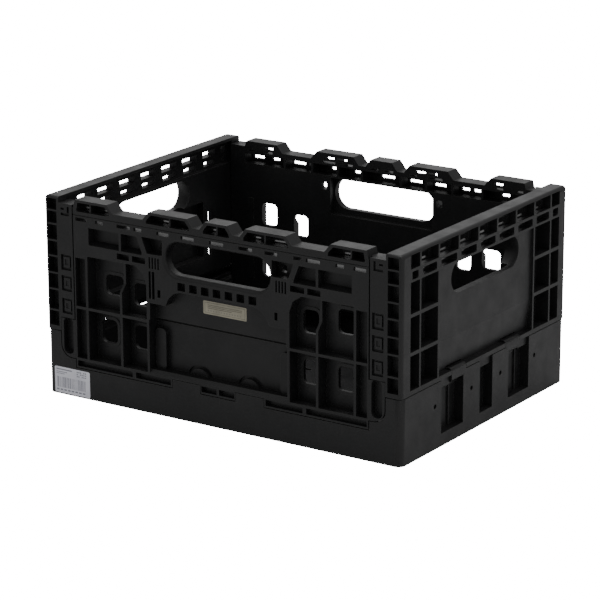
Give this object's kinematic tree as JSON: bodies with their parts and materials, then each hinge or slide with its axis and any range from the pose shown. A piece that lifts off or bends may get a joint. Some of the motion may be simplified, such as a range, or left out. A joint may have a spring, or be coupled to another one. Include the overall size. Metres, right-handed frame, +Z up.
{
  "type": "collapsible storage crate",
  "caption": "Open-topped folding crate with a solid base tray, hinged latticed side walls, slotted rims and oval hand holes.",
  "frame": {"origin": "centre of the underside, on the floor", "axes": "+X along the long side, +Y to the back, +Z up; the front long wall faces -Y"},
  "size_m": [0.48, 0.36, 0.236],
  "materials": {
    "black_polypropylene": "fine-textured satin black, lighter on rubbed edges",
    "label_paper": "white label stock with grey printing",
    "sticker_film": "cream printed film"
  },
  "bodies": {
    "tub": {"base_tray": "black_polypropylene", "end_wall_left": "black_polypropylene", "end_wall_right": "black_polypropylene", "stock_label": "label_paper"},
    "front_wall": {"long_wall_front": "black_polypropylene", "wall_sticker": "sticker_film"},
    "back_wall": {"long_wall_back": "black_polypropylene"}
  },
  "joints": [
    {"name": "front_wall_fold", "type": "hinge", "parent": "tub", "child": "front_wall", "pos_m": [0, -0.172, 0.041], "axis": [-1, 0, 0], "range_deg": [0, 90]},
    {"name": "back_wall_fold", "type": "hinge", "parent": "tub", "child": "back_wall", "pos_m": [0, 0.172, 0.041], "axis": [1, 0, 0], "range_deg": [0, 82]}
  ]
}
